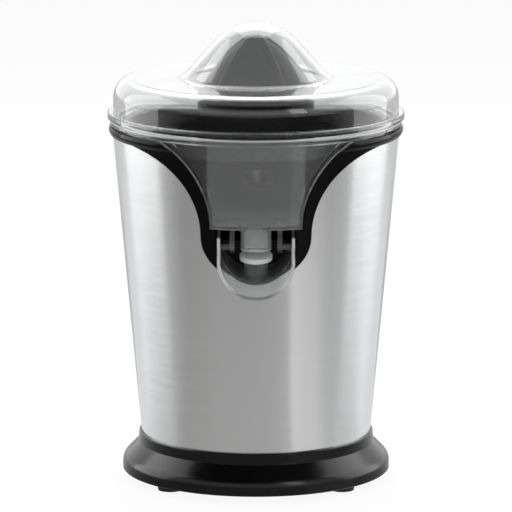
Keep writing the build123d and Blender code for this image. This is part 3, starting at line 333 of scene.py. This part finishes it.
def outline_painted_highlight(n, aside, height, above_foot):
    """Painted highlight on the window's outline: a straight foot, and sides that flare on a quarter circle."""
    climb = n.most(n.minus(height, WINDOW_FOOT), 0.0)
    across = n.math("SQRT", n.minus(WINDOW_FLARE ** 2, n.math("POWER", climb, 2.0)))
    edge = n.minus(WINDOW_HALF + WINDOW_FLARE - EDGE_WIDTH, across)
    sides = n.times(n.over(aside, edge), n.span(height, *SIDES_FADE, SIDES_LOW_SHARE, 1.0))
    foot = n.times(n.near(height, WINDOW_FOOT + EDGE_WIDTH / 2, EDGE_WIDTH), FOOT_SHARE)
    window = n.times(above_foot, n.under(height, WINDOW_TOP))
    return n.times(n.most(sides, foot), EDGE_PAINTED_HIGHLIGHT, window)


def nozzle_end_painted_highlight(n, place, height):
    """Painted highlight on the nozzle's end."""
    within = n.under(n.flat_distance(place, NOZZLE_AT), NOZZLE_RADIUS)
    return n.times(within, n.under(height, NOZZLE_END + EDGE_WIDTH), EDGE_PAINTED_HIGHLIGHT)


def rim_painted_highlight(n, place, height):
    """Painted highlight on the rim's outer top edge."""
    outer = n.over(n.flat_distance(place), RIM_RADIUS - RIM_WIDTH)
    return n.times(outer, n.over(height, RIM_TOP - RIM_DEPTH), RIM_PAINTED_HIGHLIGHT)


def cup_haze_and_painted_edge_highlights(n, place):
    """Share of white in the collector: the chute's front panel is a little frosted, and the window's
    outline, the rim's top edge and the nozzle's end have painted highlights."""
    x, depth, height = n.split(place)
    aside = n.math("ABSOLUTE", x)
    above_foot = n.over(height, WINDOW_FOOT - EDGE_WIDTH / 2)
    front = n.most(
        panel_frost(n, aside, above_foot),
        outline_painted_highlight(n, aside, height, above_foot),
        nozzle_end_painted_highlight(n, place, height),
    )
    return n.most(n.times(n.under(depth, FRONT_Y), front), rim_painted_highlight(n, place, height))


# The spout's front edges, as in its solid: face and top of the trough, tip of the lip, and the lip's edge,
# which starts at the face and slopes down, in degrees
FACE_AHEAD = 0.0235
LIP_OVER_HINGE = 0.0024
TROUGH_FACE = HINGE[1] - FACE_AHEAD
TROUGH_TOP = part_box("spout")[1].z
LIP_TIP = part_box("spout")[0].y
LIP_EDGE = HINGE[2] + LIP_OVER_HINGE
LIP_SLOPE = 28.0
LIP_FALL = math.tan(math.radians(LIP_SLOPE))

# Shares of white in the spout: painted highlights on the cut edges, and a little haze all over. The painted
# highlight on the lip's tip fades towards the middle.
SPOUT_EDGE_PAINTED_HIGHLIGHT = 0.55
SPOUT_MILK = 0.06
TIP_FADE = (0.008, 0.018)
TIP_MIDDLE_SHARE = 0.3


def spout_haze_and_painted_edge_highlights(n, place):
    """Share of white in the spout: a little haze, and painted highlights on the cut edges of the trough and the
    lip.
    """
    x, depth, height = n.split(place)
    aside = n.math("ABSOLUTE", x)
    tip = n.times(n.near(depth, LIP_TIP, EDGE_WIDTH), n.span(aside, *TIP_FADE, TIP_MIDDLE_SHARE, 1.0))
    face = n.times(n.near(depth, TROUGH_FACE, EDGE_WIDTH), n.over(height, LIP_EDGE))
    top = n.near(height, TROUGH_TOP, EDGE_WIDTH)
    fall = n.times(n.minus(depth, TROUGH_FACE), LIP_FALL)
    slope = n.near(height, n.math("ADD", fall, LIP_EDGE), EDGE_WIDTH)
    slope = n.times(slope, n.under(depth, TROUGH_FACE))
    return n.most(n.times(n.most(tip, face, top, slope), SPOUT_EDGE_PAINTED_HIGHLIGHT), SPOUT_MILK)


# The lid's top, as in its solid: depth of the plateau under the tip, and from the plateau the drop to the
# shoulder and the rise up the dome's flank
PLATEAU_DEPTH = 0.0333
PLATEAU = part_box("lid")[1].z - PLATEAU_DEPTH
SHOULDER_DROP = 0.0050
DOME_RISE = 0.0195
# White of the plateau: partly haze and partly a painted reflection of the light above. White of the dome: haze.
PLATEAU_HAZE_AND_PAINTED_REFLECTION = 0.06
DOME_MILK = 0.04


def lid_haze_and_painted_reflection(n, place):
    """Share of white in the lid: none in its wall, a little on the plateau, partly haze and partly a painted
    reflection of the light above, and less again up the dome, as haze.
    """
    height = n.split(place)[2]
    rising = n.span(height, PLATEAU - SHOULDER_DROP, PLATEAU, 0.0, PLATEAU_HAZE_AND_PAINTED_REFLECTION)
    falling = n.span(height, PLATEAU, PLATEAU + DOME_RISE, PLATEAU_HAZE_AND_PAINTED_REFLECTION, DOME_MILK)
    return n.math("MINIMUM", rising, falling)


# Clear plastic: its waviness, its haze and its refraction
WAVE_SCALE = 24.0
WAVE_STRENGTH = 0.05
WAVE_DEPTH = 0.002
HAZE_SCALE = 90.0
HAZE_RANGE = (0.35, 0.7)
CLEAR_IOR = 1.5


def clear(name, tints, rough, milk, white_share):
    """Clear moulded plastic with a faint tint, slight waviness and haze, and white from the given function:
    more haze in places, painted highlights on the edges of the collector and the spout, and partly a painted
    reflection on the lid's plateau.
    """
    material, n, shader = new_material(name)
    place = n.place()
    wave = n.noise(place, WAVE_SCALE, detail=1.0)
    haze = n.noise(place, HAZE_SCALE, detail=3.0)
    n.put(shader.inputs["Base Color"], n.mix(haze, *tints))
    n.put(shader.inputs["Roughness"], n.span(haze, *HAZE_RANGE, 0.0, rough))
    n.put(shader.inputs["Normal"], n.bump(wave, WAVE_STRENGTH, WAVE_DEPTH, CLEAR_EDGE))
    n.put(shader.inputs["Transmission Weight"], n.minus(1.0 - milk, white_share(n, place)))
    shader.inputs["IOR"].default_value = CLEAR_IOR
    return material


# Strainer: width of its clear edge, thickness of its floor, and its looks. Its roughness and clearness are
# for the floor and for the wall.
SIEVE_CLEAR = 0.016
SIEVE_FLOOR = 0.0018
SIEVE_FADE = 0.0003
SIEVE_TONES = (grey(0.004), grey(0.008, 0.02))
SIEVE_TINT = (0.95, 0.96, 0.965, 1)
SIEVE_ROUGHNESS = (0.55, 0.05)
SIEVE_CLEARNESS = (0.0, 0.99)
SIEVE_GRAIN = 900.0
SIEVE_SHINE = 0.0
SATIN_CLOUD = 60.0


def sieve_tinted():
    """The strainer: dark matte floor and hub inside a clear outer wall."""
    material, n, shader = new_material("sieve_tinted")
    place = n.place()
    low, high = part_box("sieve")
    dark_radius = high.x - SIEVE_CLEAR
    outside = n.span(n.flat_distance(place), dark_radius - SIEVE_FADE, dark_radius + SIEVE_FADE, 0.0, 1.0)
    wall = n.times(outside, n.over(n.split(place)[2], low.z + SIEVE_FLOOR))
    dark = n.mix(n.noise(place, SATIN_CLOUD, detail=3.0), *SIEVE_TONES)
    n.put(shader.inputs["Base Color"], n.mix(wall, dark, SIEVE_TINT))
    n.put(shader.inputs["Roughness"], n.span(wall, 0.0, 1.0, *SIEVE_ROUGHNESS))
    n.put(shader.inputs["Transmission Weight"], n.span(wall, 0.0, 1.0, *SIEVE_CLEARNESS))
    speck = n.noise(place, SIEVE_GRAIN)
    n.put(shader.inputs["Normal"], n.bump(speck, GRAIN_STRENGTH, GRAIN_DEPTH, CLEAR_EDGE))
    shader.inputs["Specular IOR Level"].default_value = SIEVE_SHINE
    shader.inputs["IOR"].default_value = CLEAR_IOR
    return material


# Reamer: height of its cone, and its looks. Its roughness is for the skirt and for the cone. The cone's
# lighter grey is partly its own tone and partly painted light from above.
REAMER_CONE = 0.036
SKIRT_FADE = 0.001
SKIRT_TONE = grey(0.002)
CONE_TONES_AND_PAINTED_TOP_LIGHT = (grey(0.072), grey(0.092, 0.02))
REAMER_ROUGHNESS = (0.14, 0.40)
REAMER_GRAIN = 700.0
REAMER_SHINE = 0.4


def reamer_black():
    """Black reamer: a rougher cone over a glossy skirt, the cone painted a lighter grey, partly its own tone
    and partly painted light from above.
    """
    material, n, shader = new_material("black_reamer")
    place = n.place()
    skirt_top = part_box("reamer")[1].z - REAMER_CONE
    cone = n.span(n.split(place)[2], skirt_top - SKIRT_FADE, skirt_top + SKIRT_FADE, 0.0, 1.0)
    # The cone's grey: partly its own tone, partly painted light from above
    cone_tone_and_painted_top_light = n.mix(n.noise(place, SATIN_CLOUD, detail=3.0), *CONE_TONES_AND_PAINTED_TOP_LIGHT)
    n.put(shader.inputs["Base Color"], n.mix(cone, SKIRT_TONE, cone_tone_and_painted_top_light))
    n.put(shader.inputs["Roughness"], n.span(cone, 0.0, 1.0, *REAMER_ROUGHNESS))
    speck = n.noise(place, REAMER_GRAIN)
    n.put(shader.inputs["Normal"], n.bump(speck, GRAIN_STRENGTH, GRAIN_DEPTH))
    shader.inputs["Specular IOR Level"].default_value = REAMER_SHINE
    return material


METAL_CLOUD = 160.0
RING_STRENGTH = 0.08


def metal(name, tones, roughness, rings):
    """Turned or plated metal with fine rings round its axis."""
    material, n, shader = new_material(name)
    place = n.place()
    lines = n.noise(n.around(place, *rings), detail=3.0)
    cloud = n.noise(place, METAL_CLOUD, detail=3.0)
    n.put(shader.inputs["Base Color"], n.mix(cloud, *tones))
    n.put(shader.inputs["Roughness"], n.span(lines, *NOISE_RANGE, *roughness))
    n.put(shader.inputs["Normal"], n.bump(lines, RING_STRENGTH, GRAIN_DEPTH))
    shader.inputs["Metallic"].default_value = 1.0
    return material


# Ridges: a wave texture of scale one repeats every pi / 10
WAVE_PERIOD = math.pi / 10
RIDGE_CLOUD = 220.0
RIDGE_STRENGTH = 0.6
RIDGE_DEPTH_SHARE = 1 / 3
ROUGH_SPREAD = 0.08


def striped(name, tones, pitch, metallic, rough, axis):
    """Stacked sheets or wound wire: even ridges along one axis."""
    material, n, shader = new_material(name)
    place = n.place()
    inputs = {"Vector": place, "Scale": WAVE_PERIOD / pitch, "Distortion": 0.0}
    wave = n.add("ShaderNodeTexWave", inputs, wave_type="BANDS", bands_direction=axis).outputs["Fac"]
    cloud = n.noise(place, RIDGE_CLOUD, detail=3.0)
    n.put(shader.inputs["Base Color"], n.mix(n.times(wave, cloud), *tones))
    roughness = (rough - ROUGH_SPREAD, rough + ROUGH_SPREAD)
    n.put(shader.inputs["Roughness"], n.span(cloud, *NOISE_RANGE, *roughness))
    n.put(shader.inputs["Normal"], n.bump(wave, RIDGE_STRENGTH, pitch * RIDGE_DEPTH_SHARE))
    shader.inputs["Metallic"].default_value = metallic
    return material


CUP_TINTS = ((0.93, 0.945, 0.95, 1), (0.965, 0.975, 0.98, 1))
LID_TINTS = ((0.96, 0.965, 0.965, 1), (0.98, 0.985, 0.985, 1))
BRONZE_TONES = ((0.40, 0.25, 0.10, 1), (0.58, 0.38, 0.17, 1))
COPPER_TONES = ((0.24, 0.08, 0.03, 1), (0.66, 0.28, 0.12, 1))
RED_TONES = ((0.42, 0.02, 0.015, 1), (0.52, 0.035, 0.025, 1))
BLACK_TONES = (grey(0.001), grey(0.002, 0.05))

PLASTICS = {
    "black_gloss": dict(
        tones=BLACK_TONES, roughness=(0.08, 0.14), grain=900.0, strength=0.02, shine=0.10
    ),
    "black_satin": dict(
        tones=BLACK_TONES, roughness=(0.16, 0.24), grain=2600.0, strength=0.06, shine=0.30
    ),
    "black_rubber": dict(
        tones=(grey(0.012), grey(0.022)), roughness=(0.62, 0.78), grain=1800.0, strength=0.25
    ),
    "grey_silicone": dict(
        tones=(grey(0.60), grey(0.70, 0.01)), roughness=(0.42, 0.55), grain=1500.0, strength=0.10
    ),
    "grey_nylon": dict(
        tones=(grey(0.26), grey(0.33, 0.02)), roughness=(0.48, 0.60), grain=2400.0, strength=0.14
    ),
    "white_acetal": dict(
        tones=(grey(0.70), grey(0.78)), roughness=(0.34, 0.46), grain=2400.0, strength=0.08
    ),
    "switch_black": dict(
        tones=(grey(0.014), grey(0.026)), roughness=(0.45, 0.58), grain=2600.0, strength=0.14
    ),
    "switch_red": dict(tones=RED_TONES, roughness=(0.34, 0.46), grain=2400.0, strength=0.08),
}
METALS = {
    "zinc_steel": dict(
        tones=(grey(0.46, 0.02), grey(0.62, 0.03)), roughness=(0.24, 0.40), rings=(4.0, 900.0)
    ),
    "shaft_steel": dict(
        tones=(grey(0.50), grey(0.60, 0.01)), roughness=(0.18, 0.30), rings=(2.0, 4200.0)
    ),
    "bronze": dict(tones=BRONZE_TONES, roughness=(0.32, 0.48), rings=(3.0, 2600.0)),
}
STRIPED = {
    "lamination": dict(
        tones=(grey(0.10), grey(0.30, 0.02)), pitch=0.0006, metallic=0.9, rough=0.42, axis="Z"
    ),
    "copper_wire": dict(tones=COPPER_TONES, pitch=0.0005, metallic=0.7, rough=0.32, axis="X"),
}


def make_materials():
    """One material for each slot of the record."""
    made = {
        "brushed_body": brushed_body(),
        "black_reamer": reamer_black(),
        "clear_cup": clear("clear_cup", CUP_TINTS, rough=0.05, milk=0.008, white_share=cup_haze_and_painted_edge_highlights),
        "clear_lid": clear("clear_lid", LID_TINTS, rough=0.03, milk=0.003, white_share=lid_haze_and_painted_reflection),
    }
    for kind, looks in ((plastic, PLASTICS), (metal, METALS), (striped, STRIPED)):
        for name, look in looks.items():
            made[name] = kind(name, **look)
    return made


def dress(materials):
    """Gives every solid the material of its slot. The strainer and the spout have their own kind of it."""
    own = {
        "sieve": sieve_tinted(),
        "spout": clear("clear_spout", CUP_TINTS, rough=0.04, milk=0.0, white_share=spout_haze_and_painted_edge_highlights),
    }
    for node, slot in slots.items():
        piece = nodes[node]
        piece.data.materials.clear()
        piece.data.materials.append(own.get(node, materials[slot]))


# The return spring, wound as a real one

SPRING_RADIUS = 0.007
WIRE_RADIUS = 0.0007
SPRING_TURNS = 4.0
END_CLOSING = 0.6
STEPS_PER_TURN = 40
WIRE_SIDES = 12


def wind_wire(shape, foot, rise):
    """Rings of points round the wire, from the foot upwards. The winding is closer at both ends."""
    steps = int(SPRING_TURNS * STEPS_PER_TURN)
    rings = []
    for step in range(steps + 1):
        share = step / steps
        turn = 2 * math.pi * SPRING_TURNS * share
        climb = share - END_CLOSING * math.sin(2 * math.pi * share) / (2 * math.pi)
        ring = []
        for side in range(WIRE_SIDES):
            angle = 2 * math.pi * side / WIRE_SIDES
            radius = SPRING_RADIUS + WIRE_RADIUS * math.cos(angle)
            height = foot + rise * climb + WIRE_RADIUS * math.sin(angle)
            ring.append(shape.verts.new((radius * math.cos(turn), radius * math.sin(turn), height)))
        rings.append(ring)
    return rings


def make_spring(materials):
    """Compression spring of round wire with closed ends, in place of the spring's solid and moving with the
    output.
    """
    low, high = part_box("return_spring")
    shape = bmesh.new()
    rings = wind_wire(shape, low.z + WIRE_RADIUS, high.z - low.z - 2 * WIRE_RADIUS)
    for ring, after in zip(rings, rings[1:]):
        for side in range(WIRE_SIDES):
            beside = (side + 1) % WIRE_SIDES
            shape.faces.new((ring[side], after[side], after[beside], ring[beside])).smooth = True
    shape.faces.new(rings[0])
    shape.faces.new(list(reversed(rings[-1])))
    bmesh.ops.recalc_face_normals(shape, faces=shape.faces)
    mesh = bpy.data.meshes.new("return_spring_wire")
    shape.to_mesh(mesh)
    shape.free()
    spring = bpy.data.objects.new("return_spring_wire", mesh)
    scene.collection.objects.link(spring)
    slot = slots["return_spring"]
    mesh.materials.append(materials[slot])
    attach(spring, "output")
    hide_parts("return_spring")
    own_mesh(spring)


# Studio: white all round for the eye. Glossy surfaces see bands of grey round the sides, a lighter wall
# above them, a bright back wall and a dark ceiling.

# Bands by the angle from the front in degrees: level, and how cool
BANDS = [
    (-180, 0.36, 0.02), (-156, 0.40, 0.02), (-146, 0.74, 0.02), (-118, 0.74, 0.02), (-100, 0.56, 0.01),
    (-80, 0.41, 0.0), (-62, 0.325, -0.02), (-50, 0.345, -0.03), (-33, 0.375, -0.02), (0, 0.385, -0.015),
    (27, 0.42, -0.01), (29, 0.65, -0.01), (50, 0.63, -0.01), (62, 0.48, 0.0), (78, 0.43, 0.01),
    (94, 0.52, 0.02), (110, 0.74, 0.02), (146, 0.74, 0.02), (156, 0.40, 0.02), (180, 0.36, 0.02),
]
FRONT_WALL = 0.95
BACK_WALL = 1.3
CEILING = 0.01

# Where these begin and end, as parts of a unit direction
BACK_FADE = (0.0, 0.35)
SIDE_FADE = (0.62, 0.92)
FRONT_WALL_FADE = (0.10, 0.16)
CEILING_STARTS = (0.48, 0.66)
CEILING_FADE = 0.25

# Soft light from all round on surfaces that aren't glossy
FILL = 0.55

# Tells one mirroring from none
HALF_BOUNCE = 0.5


def bands(n, vector):
    """Brightness of the studio by the angle from the front."""
    place = n.span(n.turn(vector), -math.pi, math.pi, 0.0, 1.0)
    return n.ramp(place, [((angle + 180) / 360, grey(level, cool)) for angle, level, cool in BANDS])


def rays(n):
    """One for rays straight from the eye or through clear plastic, and one for mirrored rays, also those
    that were mirrored inside the plastic."""
    path = n.add("ShaderNodeLightPath").outputs
    mirrored = n.over(path["Glossy Depth"], HALF_BOUNCE)
    straight = n.times(path["Is Transmission Ray"], n.minus(1.0, mirrored))
    bent = n.times(path["Is Transmission Ray"], mirrored)
    return n.most(path["Is Camera Ray"], straight), n.most(path["Is Glossy Ray"], bent)


def make_world():
    world = bpy.data.worlds.new("studio")
    world.use_nodes = True
    world.node_tree.nodes.clear()
    n = Nodes(world.node_tree)
    way = n.add("ShaderNodeTexCoord").outputs["Generated"]
    x, y, z = n.split(way)
    back = n.span(y, *BACK_FADE, 0.0, 1.0)
    aside = n.span(n.math("ABSOLUTE", x), *SIDE_FADE, 0.0, 1.0)
    walls = n.mix(back, bands(n, way), grey(BACK_WALL))
    front = n.times(n.span(z, *FRONT_WALL_FADE, 0.0, 1.0), n.minus(1.0, back))
    walls = n.mix(front, walls, grey(FRONT_WALL))
    ceiling = n.span(n.most(back, aside), 0.0, 1.0, *CEILING_STARTS)
    walls = n.mix(n.span(n.minus(z, ceiling), 0.0, CEILING_FADE, 0.0, 1.0), walls, grey(CEILING))
    eye, mirror = rays(n)
    room = n.mix(mirror, grey(FILL), walls)
    colour = n.mix(eye, room, grey(1.0))
    background = n.add("ShaderNodeBackground", {"Color": colour, "Strength": 1.0})
    n.add("ShaderNodeOutputWorld", {"Surface": background.outputs[0]})
    scene.world = world


# Floor: white paper with the object's shadow. Glossy surfaces see the bands in it and, farther off, a dark
# front between lighter sides. From below it isn't seen.
FLOOR_SIZE = 40.0
FLOOR_GAP = 0.0003
FLOOR_WHITE = 0.92
PAPER_SCALE = 30.0
PAPER_TONES = (grey(0.80), grey(0.84))
FAR_FADE = (0.65, 1.0)
FAR_FRONT = 0.04
FAR_SIDES = 0.60
FAR_FRONT_FADE = (-0.5, -0.1)


def make_floor():
    bpy.ops.mesh.primitive_plane_add(size=FLOOR_SIZE, location=(0, 0, -FLOOR_GAP))
    floor = bpy.context.object
    floor.name = "floor"
    material = bpy.data.materials.new("floor")
    material.use_nodes = True
    material.node_tree.nodes.clear()
    n = Nodes(material.node_tree)
    place = n.place()
    paper = n.mix(n.noise(place, PAPER_SCALE, detail=3.0), *PAPER_TONES)
    plain = n.add("ShaderNodeBsdfDiffuse", {"Color": paper}).outputs[0]
    away = n.length(place)
    ahead = n.math("DIVIDE", n.split(place)[1], away)
    far = n.mix(n.span(ahead, *FAR_FRONT_FADE, 0.0, 1.0), grey(FAR_FRONT), grey(FAR_SIDES))
    tone = n.mix(n.span(away, *FAR_FADE, 0.0, 1.0), bands(n, place), far)
    eye, mirror = rays(n)
    seen = n.blend(n.times(eye, FLOOR_WHITE), plain, n.glow(grey(1.0)))
    above = n.blend(mirror, seen, n.glow(tone))
    below = n.add("ShaderNodeBsdfTransparent").outputs[0]
    under = n.add("ShaderNodeNewGeometry").outputs["Backfacing"]
    n.add("ShaderNodeOutputMaterial", {"Surface": n.blend(under, above, below)})
    floor.data.materials.append(material)


# Lamps: name, place, target, width and height, power
LAMPS = [
    ("top_softbox", (0.0, 0.80, 1.26), (0, 0, 0.24), (0.9, 1.5), 13.6),
    ("front_softbox", (0.9, -1.3, 1.0), (0, 0, 0.15), (0.4, 0.8), 4.0),
    ("left_panel", (-0.95, 0.25, 0.62), (0, 0, 0.4), (0.9, 1.2), 8.0),
    ("right_panel", (0.95, 0.25, 0.62), (0, 0, 0.4), (0.9, 1.2), 8.0),
]


def make_lamp(name, at, target, size, power):
    """Soft lamp that lights and is mirrored, but isn't seen itself, not through clear plastic either."""
    data = bpy.data.lights.new(name, "AREA")
    data.shape = "RECTANGLE"
    data.size, data.size_y = size
    data.energy = power
    lamp = bpy.data.objects.new(name, data)
    lamp.location = at
    x, y, z = (b - a for a, b in zip(at, target))
    lamp.rotation_euler = (math.atan2(math.hypot(x, y), -z), 0, math.atan2(-x, y))
    lamp.visible_camera = False
    lamp.visible_transmission = False
    scene.collection.objects.link(lamp)


def make_studio():
    make_world()
    make_floor()
    for lamp in LAMPS:
        make_lamp(*lamp)


make_camera()
materials = make_materials()
dress(materials)
make_spring(materials)
make_studio()
